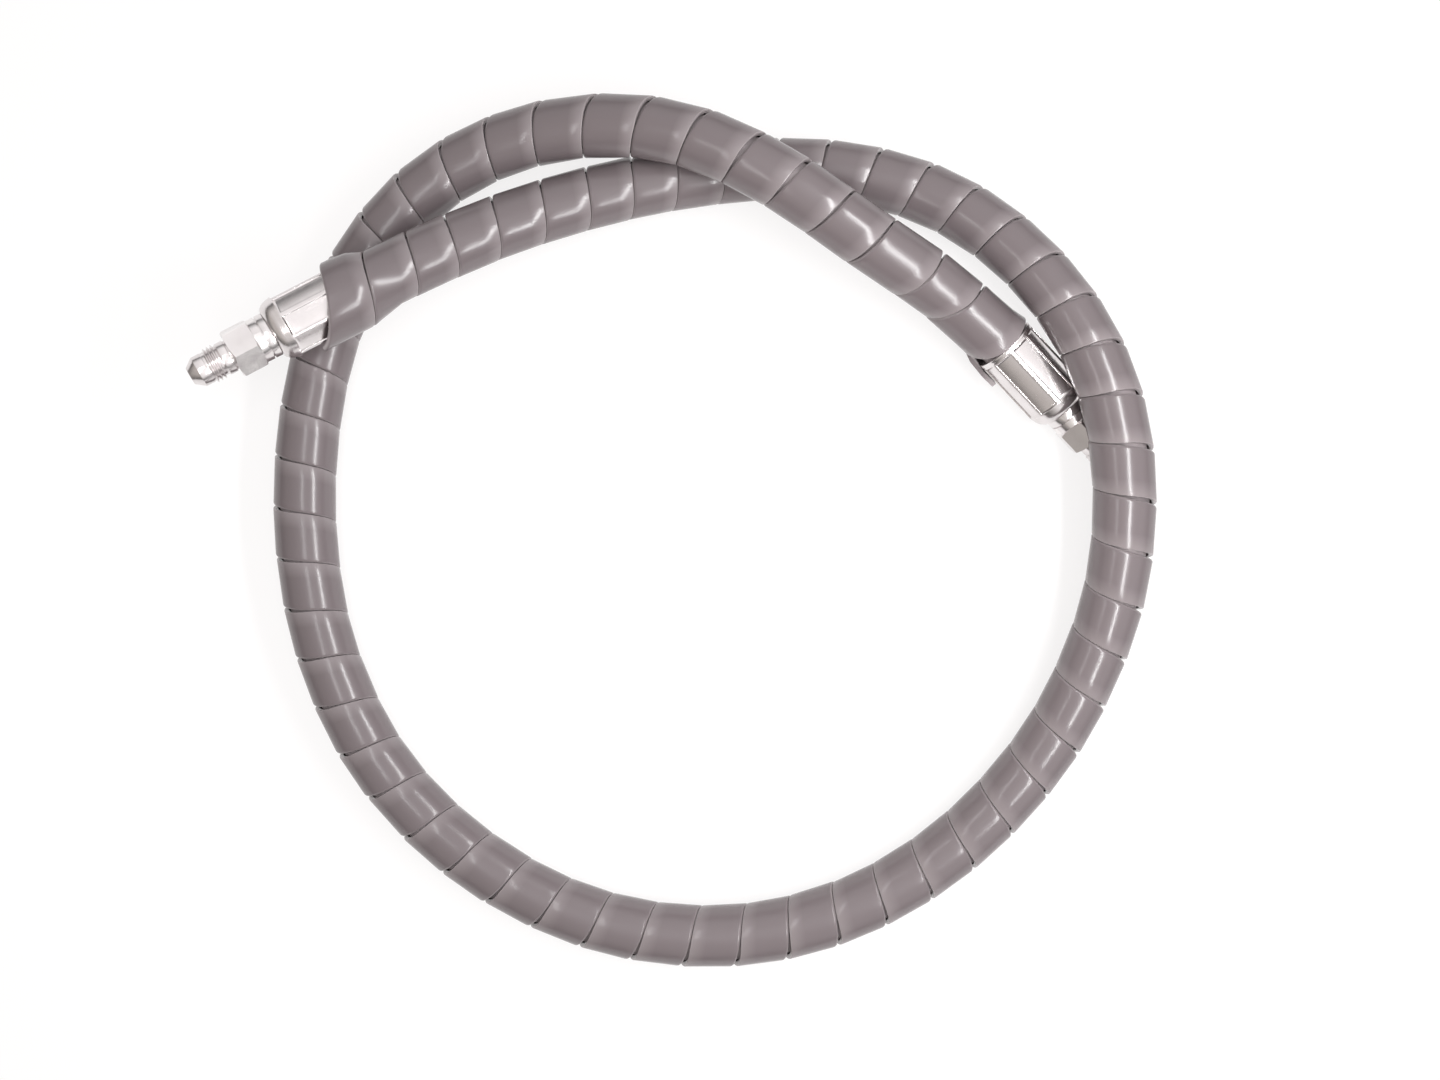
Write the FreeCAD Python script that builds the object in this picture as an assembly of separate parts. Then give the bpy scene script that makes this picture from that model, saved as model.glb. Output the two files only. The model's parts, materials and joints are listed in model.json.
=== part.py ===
"""Hydraulic hose assembly: a two-wire hose in one loose loop, a crimped male flare fitting at each end, and a
spiral guard wound round the hose. The part lies on the floor plane z = 0, in millimetres."""
import FreeCAD, Part
import math
import os

V = FreeCAD.Vector

# Hose layers, from the bore outwards
hose_bore_radius = 3.2
tube_wall = 1.5
inner_braid_wall = 0.6
friction_wall = 0.4
outer_braid_wall = 0.65
cover_wall = 1.4

# Spiral guard: a flat plastic strip wound left-handed round the hose
guard_clearance = 0.5
guard_wall = 1.6
guard_pitch = 16.0
guard_gap = 0.8
guard_start = 0.5
guard_end = 25.1
guard_ramp = 7.0
guard_floor_flat = 0.5
guard_spans_per_turn = 2
guard_steps_per_span = 6
# How far the turns are pushed along the hose, as (distance along the guard, push)
guard_crowding = [(0, 9.8), (16, 11.5), (32, 8.5), (64, 2.5), (112, 0), (928, 0.5), (1008, 5), (1056, 6.5), (1104, 8.5)]

# Crimped ferrule, with lengths counted from the lip where the hose goes in
ferrule_wall = 2.4
ferrule_length = 25.0
ferrule_rim_drop = 0.15
ferrule_front_wall = 6.0
ferrule_shoulder = 4.0
ferrule_shoulder_drop = 0.7
ferrule_nose_round = 1.3
crimp_start = 1.8
crimp_end = 22.2
crimp_depth = 0.7
crimp_count = 8
crimp_ridge = 1.4
crimp_roll_a = 7.5
crimp_roll_b = 12.0

# Stem: hose tail, collar, two rings, hexagon, and the male end with its 37 degree cone
stem_bore_radius = 2.2
tail_length = 20.0
tail_groove_depth = 0.35
tail_groove_width = 1.2
tail_groove_count = 5
collar_radius = 6.2
ring_radius = 7.1
ring_length = 2.4
ring_gap = 0.4
ring_gap_depth = 0.6
hex_across_flats = 14.29
hex_length = 8.6
hex_chamfer_angle = 30.0
hex_roll_a = -23.0
hex_roll_b = 7.0
relief_radius = 5.25
relief_length = 3.4
undercut_depth = 0.4
undercut_length = 0.6
thread_radius = 5.556
thread_length = 4.9
pilot_radius = 4.9
pilot_length = 2.8
cone_angle = 37.0
cone_length = 2.85

# Sizes worked out from those above
inner_braid_radius = hose_bore_radius + tube_wall
friction_radius = inner_braid_radius + inner_braid_wall
outer_braid_radius = friction_radius + friction_wall
cover_radius = outer_braid_radius + outer_braid_wall
hose_radius = cover_radius + cover_wall
guard_inner_radius = hose_radius + guard_clearance
guard_radius = guard_inner_radius + guard_wall
rest_height = guard_radius - guard_floor_flat
ferrule_radius = hose_radius + ferrule_wall
hose_insertion = ferrule_length + ferrule_shoulder - ferrule_front_wall
stem_start = ferrule_length + ferrule_shoulder

# The hose's route, from its end inside ferrule a to its end inside ferrule b: x, y and the height
# of its centre above the height at which the guard lies on the floor
route = [
    (-121, 66, 26.5),
    (-80.5, 90, 16.5),
    (-38.5, 108, 7),
    (5.5, 119, 1),
    (49, 122, 0),
    (90, 110.5, 2),
    (122, 80, 12),
    (139, 43.5, 18.5),
    (142.5, 3.5, 17),
    (136.5, -34.5, 10),
    (116.5, -75.5, 3),
    (80.5, -111, 0),
    (36, -130.5, 0),
    (-13.5, -131.5, 0),
    (-58.5, -114, 0),
    (-96.5, -81, 0),
    (-117.5, -39, 0),
    (-124.5, 5.5, 0),
    (-121, 50, 0),
    (-108.5, 86, 0.5),
    (-83.5, 116, 3.5),
    (-46.5, 131.5, 10),
    (-6, 131, 19),
    (29.5, 115, 24),
    (62, 92.5, 18.5),
    (92, 75.5, 9.2),
    (121, 46.5, 2.7),
]
arc_share = 0.45


def arc_at(before, corner, after):
    """The tangent arc at one corner of the route, as its start, middle, end, centre and radius."""
    back = before - corner
    ahead = after - corner
    tangent_length = arc_share * min(back.Length, ahead.Length)
    turn = math.pi - back.getAngle(ahead)
    radius = tangent_length / math.tan(turn / 2)
    back.normalize()
    ahead.normalize()
    inward = back + ahead
    inward.normalize()
    centre = corner + inward * math.hypot(radius, tangent_length)
    return {
        "start": corner + back * tangent_length,
        "middle": centre - inward * radius,
        "end": corner + ahead * tangent_length,
        "centre": centre,
        "radius": radius,
        "turn": turn,
    }


def route_spans():
    """The centreline as straight and round spans in order, each with its length along the hose."""
    points = [V(x, y, rest_height + lift) for x, y, lift in route]
    spans = []
    reached = points[0]
    travelled = 0.0
    for before, corner, after in zip(points, points[1:], points[2:]):
        arc = arc_at(before, corner, after)
        run = (arc["start"] - reached).Length
        spans.append({"from": travelled, "length": run, "start": reached, "end": arc["start"]})
        travelled += run
        bend = arc["radius"] * arc["turn"]
        spans.append({"from": travelled, "length": bend, **arc})
        travelled += bend
        reached = arc["end"]
    run = (points[-1] - reached).Length
    spans.append({"from": travelled, "length": run, "start": reached, "end": points[-1]})
    return spans


spans = route_spans()
hose_length = spans[-1]["from"] + spans[-1]["length"]
lip_a = hose_insertion
lip_b = hose_length - hose_insertion
guard_turns = (hose_length - guard_start - guard_end) / guard_pitch - 1


def place_at(travel):
    """The centreline's point and direction at a length along the hose."""
    span = next((s for s in spans if travel <= s["from"] + s["length"]), spans[-1])
    along = travel - span["from"]
    if "radius" not in span:
        direction = (span["end"] - span["start"]).normalize()
        return span["start"] + direction * along, direction
    out = (span["start"] - span["centre"]) * (1 / span["radius"])
    far = (span["end"] - span["centre"]) * (1 / span["radius"])
    axis = out.cross(far).normalize()
    sideways = axis.cross(out)
    angle = along / span["radius"]
    point = span["centre"] + (out * math.cos(angle) + sideways * math.sin(angle)) * span["radius"]
    return point, sideways * math.cos(angle) - out * math.sin(angle)


def route_wire():
    """The centreline as one wire of lines and arcs."""
    edges = []
    for span in spans:
        if "radius" in span:
            edges.append(Part.Arc(span["start"], span["middle"], span["end"]).toShape())
        else:
            edges.append(Part.LineSegment(span["start"], span["end"]).toShape())
    return Part.Wire(edges)


def rod(wire, radius):
    """A solid rod of one radius along the whole route."""
    point, direction = place_at(0)
    circle = Part.Wire([Part.Circle(point, direction, radius).toShape()])
    return wire.makePipeShell([circle], True, False)


def layer(wire, inner_radius, wall):
    """One layer of the hose, a tube with its bore open at both ends."""
    return rod(wire, inner_radius + wall).cut(rod(wire, inner_radius))


def crowding(wound):
    """How far the guard is pushed along the hose after a wound length, eased between the values in the list."""
    for (left, low), (right, high) in zip(guard_crowding, guard_crowding[1:]):
        if wound <= right:
            share = max(0.0, (wound - left) / (right - left))
            return low + (high - low) * share * share * (3 - 2 * share)
    return guard_crowding[-1][1]


def edge_travel(turn):
    """Where the middle of the gap between two turns of the guard lies along the hose."""
    wound = guard_pitch * turn
    return guard_start + wound + crowding(wound)


def ride_up(front, rear):
    """From 0 where a turn lies on the hose to 1 where it lies over a ferrule."""
    clear = min(front - lip_a, lip_b - rear) - guard_gap
    share = min(1.0, max(0.0, 1 - clear / guard_ramp))
    return share * share * (3 - 2 * share)


def rail_point(turn, rear, outer):
    """A point on one of the strip's four long edges."""
    front_travel = edge_travel(turn) + guard_gap / 2
    rear_travel = edge_travel(turn + 1) - guard_gap / 2
    seat = guard_inner_radius + ride_up(front_travel, rear_travel) * ferrule_wall
    radius = seat + guard_wall if outer else seat
    point, direction = place_at(rear_travel if rear else front_travel)
    side = direction.cross(V(0, 0, 1)).normalize()
    up = side.cross(direction)
    angle = 2 * math.pi * turn
    return point + (side * math.cos(angle) + up * math.sin(angle)) * radius


def rail_edge(start_turn, end_turn, rear, outer):
    """One long edge of the strip between two turns, as a smooth curve."""
    step = (end_turn - start_turn) / guard_steps_per_span
    turns = [start_turn + step * k for k in range(guard_steps_per_span + 1)]
    points = [rail_point(t, rear, outer) for t in turns]
    nudge = 0.001
    slopes = [rail_point(t + nudge, rear, outer) - rail_point(t - nudge, rear, outer) for t in (turns[0], turns[-1])]
    curve = Part.BSplineCurve()
    curve.interpolate(Points=points, InitialTangent=slopes[0], FinalTangent=slopes[1])
    return curve.toShape()


def guard():
    """The spiral guard as one unbroken strip, cut flat where it lies on the floor."""
    corners = [(False, False), (True, False), (True, True), (False, True)]
    faces = []
    start_turn = 0.0
    while start_turn < guard_turns:
        end_turn = min(start_turn + 1 / guard_spans_per_turn, guard_turns)
        rails = [rail_edge(start_turn, end_turn, rear, outer) for rear, outer in corners]
        for first, second in zip(rails, rails[1:] + rails[:1]):
            faces.append(Part.makeRuledSurface(first, second))
        start_turn = end_turn
    for turn in (0, guard_turns):
        front_in, rear_in, rear_out, front_out = [rail_point(turn, rear, outer) for rear, outer in corners]
        inside = Part.LineSegment(front_in, rear_in).toShape()
        outside = Part.LineSegment(front_out, rear_out).toShape()
        faces.append(Part.makeRuledSurface(inside, outside))
    shell = Part.makeShell(faces)
    shell.sewShape()
    strip = Part.makeSolid(shell.Shells[0] if shell.Shells else shell)
    if strip.Volume < 0:
        strip.reverse()
    box = strip.BoundBox
    box.enlarge(guard_wall)
    below = Part.makeBox(box.XLength, box.YLength, -box.ZMin, V(box.XMin, box.YMin, box.ZMin))
    return strip.cut(below)


def least_guard_gap():
    """The least distance between the edges of neighbouring turns, measured on points."""
    least = guard_pitch
    samples_per_turn = 24
    for k in range(int((guard_turns - 1) * samples_per_turn)):
        turn = k / samples_per_turn
        for outer in (False, True):
            gap = (rail_point(turn, True, outer) - rail_point(turn + 1, False, outer)).Length
            least = min(least, gap)
    return least


def revolved(outline):
    """A solid turned about the x axis from an outline of (x, radius) points."""
    wire = Part.makePolygon([V(x, r, 0) for x, r in outline + outline[:1]])
    return Part.Face(wire).revolve(V(0, 0, 0), V(1, 0, 0), 360)


def ferrule(crimp_roll):
    """The crimped ferrule along x, from its lip at x = 0, before it is placed on the hose."""
    rim = ferrule_radius - ferrule_rim_drop
    body = revolved(
        [
            (0, hose_radius),
            (0, ferrule_radius),
            (ferrule_length, rim),
            (stem_start - ferrule_nose_round, rim - ferrule_shoulder_drop),
            (stem_start, rim - ferrule_shoulder_drop - ferrule_nose_round),
            (stem_start, collar_radius),
            (hose_insertion, collar_radius),
            (hose_insertion, hose_radius),
        ]
    )
    flat_half = ferrule_radius * math.sin(math.pi / crimp_count) - crimp_ridge / 2
    flat_height = ferrule_radius - crimp_depth
    for k in range(crimp_count):
        press = Part.makeBox(
            crimp_end - crimp_start,
            2 * flat_half,
            ferrule_wall,
            V(crimp_start, -flat_half, flat_height),
        )
        press.rotate(V(0, 0, 0), V(1, 0, 0), (k + 0.5) * 360 / crimp_count + crimp_roll)
        body = body.cut(press)
    return body


def stem_outline():
    """The stem's turned outline as (x, radius) points, from its tail to its tip, without the hexagon."""
    tail_start = hose_insertion - tail_length
    outline = [(tail_start, stem_bore_radius), (tail_start, hose_bore_radius)]
    spacing = (tail_length - 2 * tail_groove_width) / tail_groove_count
    for k in range(tail_groove_count):
        x = tail_start + tail_groove_width + k * spacing
        outline += [
            (x, hose_bore_radius),
            (x, hose_bore_radius - tail_groove_depth),
            (x + tail_groove_width, hose_bore_radius),
        ]
    x = hose_insertion
    outline += [(x, hose_bore_radius), (x, collar_radius)]
    x = stem_start
    outline += [(x, collar_radius), (x, ring_radius)]
    x += ring_length
    outline += [(x, ring_radius), (x, ring_radius - ring_gap_depth)]
    x += ring_gap
    outline += [(x, ring_radius - ring_gap_depth), (x, ring_radius)]
    x += ring_length + hex_length
    undercut = relief_radius - undercut_depth
    outline += [(x, ring_radius), (x, undercut)]
    outline += [(x + undercut_length, undercut), (x + undercut_length, relief_radius)]
    x += relief_length
    outline += [(x, relief_radius), (x, thread_radius)]
    x += thread_length
    outline += [(x, thread_radius), (x, pilot_radius)]
    x += pilot_length
    tip_radius = pilot_radius - cone_length * math.tan(math.radians(cone_angle))
    outline += [(x, pilot_radius), (x + cone_length, tip_radius), (x + cone_length, stem_bore_radius)]
    return outline


def hexagon(start):
    """The stem's hexagon with chamfered corners, from x = start, corner upwards."""
    corner = hex_across_flats / 2 / math.cos(math.pi / 6)
    angles = [math.radians(60 * k) for k in range(7)]
    loop = Part.makePolygon([V(start, corner * math.sin(a), corner * math.cos(a)) for a in angles])
    prism = Part.Face(loop).extrude(V(hex_length, 0, 0))
    drop = (corner - hex_across_flats / 2) * math.tan(math.radians(hex_chamfer_angle))
    end = start + hex_length
    turned = revolved(
        [
            (start, 0),
            (start, hex_across_flats / 2),
            (start + drop, corner),
            (end - drop, corner),
            (end, hex_across_flats / 2),
            (end, 0),
        ]
    )
    return prism.common(turned)


def stem(hex_roll):
    """The stem along x, from the ferrule's lip at x = 0, before it is placed on the hose."""
    hex_start = stem_start + 2 * ring_length + ring_gap
    hexed = hexagon(hex_start)
    hexed.rotate(V(0, 0, 0), V(1, 0, 0), hex_roll)
    outline = stem_outline()
    bore = Part.makeCylinder(stem_bore_radius, outline[-1][0], V(0, 0, 0), V(1, 0, 0))
    return revolved(outline).fuse(hexed).cut(bore)


def placed(shape, travel, tipward):
    """A fitting's shape moved to its lip on the hose, with x along the axis towards the tip and z upwards."""
    point, direction = place_at(travel)
    axis = direction * tipward
    side = V(0, 0, 1).cross(axis).normalize()
    up = axis.cross(side)
    moved = shape.copy()
    moved.Placement = FreeCAD.Placement(point, FreeCAD.Rotation(axis, side, up, "XYZ"))
    return moved


def main():
    wire = route_wire()
    shapes = {
        "inner_tube": layer(wire, hose_bore_radius, tube_wall),
        "inner_wire_braid": layer(wire, inner_braid_radius, inner_braid_wall),
        "friction_layer": layer(wire, friction_radius, friction_wall),
        "outer_wire_braid": layer(wire, outer_braid_radius, outer_braid_wall),
        "outer_cover": layer(wire, cover_radius, cover_wall),
        "spiral_guard": guard(),
        "ferrule_a": placed(ferrule(crimp_roll_a), lip_a, -1),
        "ferrule_b": placed(ferrule(crimp_roll_b), lip_b, 1),
        "stem_a": placed(stem(hex_roll_a), lip_a, -1),
        "stem_b": placed(stem(hex_roll_b), lip_b, 1),
    }
    os.makedirs("parts", exist_ok=True)
    for name, shape in shapes.items():
        print(name, shape.isValid(), len(shape.Solids), round(shape.Volume, 1), shape.BoundBox)
        shape.exportStep("parts/" + name + ".step")

    print("hose length", round(hose_length, 1), "wire", round(wire.Length, 1))
    print("bend radii", [round(s["radius"], 1) for s in spans if "radius" in s])
    section = math.pi * (hose_radius**2 - cover_radius**2)
    print("cover volume over section times length", shapes["outer_cover"].Volume / section / hose_length)
    print("least gap between guard turns", round(least_guard_gap(), 2))
    thread_middle = stem_start + 2 * ring_length + ring_gap + hex_length + relief_length + thread_length / 2
    for name, travel, tipward in (("a", lip_a, -1), ("b", lip_b, 1)):
        point, direction = place_at(travel)
        axis = direction * tipward
        print("thread", name, "middle", point + axis * thread_middle, "axis", axis)


main()
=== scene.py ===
"""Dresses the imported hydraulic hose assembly: a two-wire hose in one loose loop, wound in a spiral guard,
with a crimped male flare fitting at each end. All lengths are in metres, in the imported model's own frame."""

import json
import math

import bmesh
import bpy
import numpy as np
from mathutils import Matrix, Vector

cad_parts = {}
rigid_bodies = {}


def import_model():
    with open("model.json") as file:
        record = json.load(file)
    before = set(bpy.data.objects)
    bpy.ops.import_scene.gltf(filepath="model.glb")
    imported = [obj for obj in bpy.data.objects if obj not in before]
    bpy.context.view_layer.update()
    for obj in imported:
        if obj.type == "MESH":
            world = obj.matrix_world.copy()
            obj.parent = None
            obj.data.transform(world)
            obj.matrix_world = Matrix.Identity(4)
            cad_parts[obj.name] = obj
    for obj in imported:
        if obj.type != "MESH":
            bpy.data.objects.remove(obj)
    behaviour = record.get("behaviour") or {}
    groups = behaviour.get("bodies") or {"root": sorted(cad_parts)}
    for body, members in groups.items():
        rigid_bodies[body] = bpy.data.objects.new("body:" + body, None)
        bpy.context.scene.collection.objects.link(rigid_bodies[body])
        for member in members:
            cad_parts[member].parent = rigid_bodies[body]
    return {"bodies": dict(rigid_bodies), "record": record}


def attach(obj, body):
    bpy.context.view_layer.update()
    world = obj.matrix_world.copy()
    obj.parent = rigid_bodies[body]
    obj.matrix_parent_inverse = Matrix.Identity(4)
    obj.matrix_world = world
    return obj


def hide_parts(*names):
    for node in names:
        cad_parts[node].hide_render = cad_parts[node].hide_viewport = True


bl_info = {
    "name": "Hydraulic Hose Assembly",
    "version": (1, 0, 0),
    "blender": (4, 5, 0),
    "location": "3D View > Sidebar > Hose",
    "description": "Makes a guarded hydraulic hose with its crimped fittings around the packed model",
    "category": "Object",
}

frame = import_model()
record = frame["record"]
BODY = next(iter(frame["bodies"]))
MM = 0.001

# The hose's route from its end inside ferrule a to its end inside ferrule b: x, y and the height of its
# centre above the height at which the guard lies on the floor
ROUTE = [
    (-0.121, 0.066, 0.0265),
    (-0.0805, 0.09, 0.0165),
    (-0.0385, 0.108, 0.007),
    (0.0055, 0.119, 0.001),
    (0.049, 0.122, 0),
    (0.09, 0.1105, 0.002),
    (0.122, 0.08, 0.012),
    (0.139, 0.0435, 0.0185),
    (0.1425, 0.0035, 0.017),
    (0.1365, -0.0345, 0.01),
    (0.1165, -0.0755, 0.003),
    (0.0805, -0.111, 0),
    (0.036, -0.1305, 0),
    (-0.0135, -0.1315, 0),
    (-0.0585, -0.114, 0),
    (-0.0965, -0.081, 0),
    (-0.1175, -0.039, 0),
    (-0.1245, 0.0055, 0),
    (-0.121, 0.05, 0),
    (-0.1085, 0.086, 0.0005),
    (-0.0835, 0.116, 0.0035),
    (-0.0465, 0.1315, 0.01),
    (-0.006, 0.131, 0.019),
    (0.0295, 0.115, 0.024),
    (0.062, 0.0925, 0.0185),
    (0.092, 0.0755, 0.0092),
    (0.121, 0.0465, 0.0027),
]
# How far the guard's turns are pushed along the hose, as (turn, push in millimetres)
GUARD_PUSH = [
    (-1, 5.2),
    (0, 5.2),
    (0.25, 9.3),
    (0.5, 9.1),
    (1, 6.4),
    (1.5, 7.1),
    (2, 6.4),
    (2.5, 5.5),
    (3, 4.2),
    (3.5, 2.3),
    (5.5, 2.5),
    (6.5, 1.5),
    (7.5, 0.3),
    (8.5, -0.3),
    (58, 0.3),
    (62.5, 5.3),
    (65.5, 5.0),
    (66, 7.6),
    (66.25, 9.0),
    (66.5, 7.7),
    (67, 6.0),
    (67.25, 9.2),
    (67.5, 7.5),
    (68, 9.5),
    (68.15, 12.8),
    (68.25, 12.9),
    (68.5, 8.9),
    (68.95, 8.3),
    (70, 8.3),
]
# How much of the ferrule's wall the strip's end climbs at each end of the hose, as (turn, share)
GUARD_CLIMB = [(-1, 1), (66, 1), (67, 0.3), (67.4, 0.3), (67.6, 0.85), (70, 0.85)]

# The stem along its axis: from the shoulder to the hexagon, the groove between the two rings, the relief
# before the thread and the plain pilot and cone after it
RINGS_LENGTH = 0.0052
GROOVE_START = 0.0024
GROOVE_END = 0.0028
GROOVE_DEPTH = 0.0006
RELIEF_LENGTH = 0.0034
RELIEF_WIDTH = 0.0006
RELIEF_RADIUS = 0.00485
SHANK_RADIUS = 0.00525
SHANK_END = 0.0004
PILOT_LENGTH = 0.0028
CONE_LENGTH = 0.00285
CONE_ANGLE = math.radians(37)
# The stem's tail inside the hose
TAIL_LENGTH = 0.02
TAIL_CHAMFER = (0.0006, 0.0003)
BARBS = 5
BARB_START = 0.0012
BARB_PITCH = 0.0035
BARB_RISE = 0.0012
BARB_DEPTH = 0.00035
# The thread: its depth and the half width of its foot as shares of the pitch, the half width of its crest,
# how far it sinks into the root, where it starts, how much shorter it is than its place, its steps in a turn,
# how fast it fades and the least share of its height that is left at its ends
THREAD_DEPTH = 0.613
THREAD_FOOT = 0.46
THREAD_CREST = 0.00009
THREAD_SINK = 0.00012
THREAD_START = 0.0005
THREAD_SHORTER = 0.0011
THREAD_STEPS = 40
THREAD_FADE = 14.0
THREAD_LEAST = 0.02
# The hexagon's chamfer, how far its cutter reaches past the corners, the cutter's bore and the soft edges
HEX_CHAMFER = math.radians(30)
CUTTER_OVER = 0.0008
CUTTER_BORE = 0.001
HEX_EDGE = 0.00012
# Small steps: between faces that must not coincide, and the round of the stem's turned edges
STEP = 0.0001
TURNED_EDGE = 0.00012
# The largest part of a side that a rounded corner takes
CORNER_SHARE = 0.45

# Points of one turned shape, of one layer of the hose round it, and of its length
LATHE_SIDES = 96
LAYER_SIDES = 40
LAYER_RINGS = 500
# Skins are laid out flat before they are wound: metres of the flat grid for each radian
FLAT_SCALE = 0.01
# How a crimp flat begins and ends along the ferrule, as (distance, share of its depth)
CRIMP_RAMP = [(0, 0), (0.00025, 0.5), (0.0006, 0.93), (0.001, 1)]
# How far from its edges the guard's strip is painted pale: a painted highlight for the bright rims along the
# gaps
EDGE_GLINT_WIDTH = 0.0005
# Where the guard's strip begins, in turns
FIRST_TURN = -0.03
# Points over which bends and pushes are averaged
BLUR = 9
# Points closer than this are one point
SAME_POINT = 1e-7
# The lowest place that a point of a skin may have
LOWEST = (-10, -10, 0)
# The braid: the length of one lay, and the wires in each half wave of a bundle
LAY_LENGTH = 0.032
WIRES_PER_WAVE = 3.0
# The white that the floor and the room show to the camera
WHITE = (1, 0.988, 0.985, 1)
# The floor's half width, and how far it lies under the object so that the two never coincide
FLOOR_HALF = 8.0
FLOOR_DROP = 0.0002
# The world's level for plain surfaces. Shiny ones reflect a room instead, which goes from a dark, warm side
# to a bright one and is dim near the horizon
PLAIN_LEVEL = 0.58
ROOM_LEVELS = (0.6, 1.15)
ROOM_FROM_TO = (-0.7, 0.3)
HORIZON_LEVELS = (0.2, 1)
HORIZON_FROM_TO = (0.12, 0.5)
WARM_TINT = (1, 0.94, 0.89, 1)
COOL_TINT = (1, 0.98, 0.98, 1)
# The lamps: name, place, lean in degrees, width, length, power in watts and whether it shows in reflections
LAMPS = [
    ("left_lamp", (-0.1, 0, 0.32), 0, 0.022, 0.2, 0.14, True),
    ("right_lamp", (0.175, -0.02, 0.295), 40, 0.03, 0.36, 1.2, True),
    ("high_lamp", (0.1, 0, 1.4), 0, 0.8, 0.8, 8.0, False),
]


def length(name, default, note):
    """A length property that a user can change."""
    return bpy.props.FloatProperty(name=name, description=note, default=default, unit="LENGTH", precision=5)


def colour(name, default, note):
    """A colour property that a user can change."""
    return bpy.props.FloatVectorProperty(
        name=name, description=note, default=default, subtype="COLOR", size=3, min=0, max=1
    )


def angle_size(name, degrees, note):
    """An angle property that a user can change, given in degrees."""
    default = math.radians(degrees)
    return bpy.props.FloatProperty(name=name, description=note, default=default, subtype="ANGLE")


def number(name, default, note, **limits):
    """A plain number property that a user can change."""
    return bpy.props.FloatProperty(name=name, description=note, default=default, **limits)


def whole(name, default, note, least):
    """A whole number property that a user can change."""
    return bpy.props.IntProperty(name=name, description=note, default=default, min=least)


class HoseSizes(bpy.types.PropertyGroup):
    """Sizes of the hose and its layers."""

    bore_radius: length("Bore radius", 0.0032, "Radius of the oil's way through the hose")
    tube_wall: length("Tube wall", 0.0015, "Thickness of the inner rubber tube")
    inner_braid_wall: length("Inner braid", 0.0006, "Thickness of the first wire braid")
    friction_wall: length("Friction layer", 0.0004, "Thickness of the rubber between the braids")
    outer_braid_wall: length("Outer braid", 0.00065, "Thickness of the second wire braid")
    cover_wall: length("Cover wall", 0.0014, "Thickness of the rubber cover")
    rest_height: length("Rest height", 0.00935, "Height of the hose's centre where it lies flat")
    full_length: length("Hose length", 1.1288, "Length of the hose between its cut ends")
    insertion: length("Insertion", 0.023, "How deep the hose sits in each ferrule")


class GuardSizes(bpy.types.PropertyGroup):
    """Sizes of the spiral guard."""

    clearance: length("Clearance", 0.0005, "Room between the cover and the guard")
    wall: length("Wall", 0.0016, "Thickness of the strip")
    pitch: length("Pitch", 0.016, "Distance along the hose from one turn to the next")
    start: length("Start", 0.0005, "Where the winding is counted from, measured from the hose's end")
    gap: length("Gap", 0.00035, "Mean gap between neighbouring turns")
    least_gap: length("Least gap", 0.0002, "Gap that stays on the inside of a bend")
    front_round: length("Front rounding", 0.0009, "Radius of the strip's front edge")
    back_round: length("Back rounding", 0.0003, "Radius of the strip's other edges")
    slack: length("Slack", 0.002, "How much less a turn leans than a true helix does")
    lip_ramp: length("Lip ramp", 0.009, "Length over which a turn climbs on to a ferrule")
    waver: length("Waver", 0.00015, "Unevenness of the winding")
    bend_share: number("Bend share", 0.8, "Part of the bend that opens the gaps", min=0, max=1)
    turns: number("Turns", 67.95, "Turns of the strip", min=2)
    steps: whole("Steps", 48, "Steps in one turn", 12)


class FittingSizes(bpy.types.PropertyGroup):
    """Sizes of the crimped fittings."""

    ferrule_radius: length("Ferrule radius", 0.01015, "Outer radius of the ferrule")
    ferrule_length: length("Ferrule length", 0.025, "Length of the ferrule's round wall")
    shoulder: length("Shoulder", 0.004, "Length of the ferrule's shoulder")
    crimp_start: length("Crimp start", 0.0018, "Where the crimp flats start, from the lip")
    crimp_end: length("Crimp end", 0.0243, "Where the crimp flats end, from the lip")
    crimp_depth: length("Crimp depth", 0.0007, "Depth of the crimp flats")
    crimp_ridge: length("Crimp ridge", 0.0014, "Width of the ridge left between two flats")
    crimps: whole("Crimps", 8, "Crimp flats round a ferrule", 3)
    crimp_roll_a: angle_size("Crimp roll a", 7.5, "Turn of ferrule a")
    crimp_roll_b: angle_size("Crimp roll b", 12, "Turn of ferrule b")
    stem_bore: length("Stem bore", 0.0022, "Radius of the bore through the stem")
    collar_radius: length("Collar radius", 0.0062, "Radius of the stem inside the ferrule's shoulder")
    ring_radius: length("Ring radius", 0.0071, "Radius of the two rings behind the hexagon")
    across_flats: length("Across flats", 0.01429, "Width of the hexagon across its flats")
    hex_length: length("Hexagon length", 0.0086, "Length of the hexagon")
    hex_roll_a: angle_size("Hexagon roll a", -23, "Turn of stem a")
    hex_roll_b: angle_size("Hexagon roll b", 7, "Turn of stem b")
    thread_radius: length("Thread radius", 0.005556, "Outer radius of the thread")
    thread_pitch: length("Thread pitch", 0.00127, "Pitch of the thread")
    thread_length: length("Thread length", 0.0049, "Length of the thread")
    pilot_radius: length("Pilot radius", 0.0049, "Radius of the plain pilot behind the cone")


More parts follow.
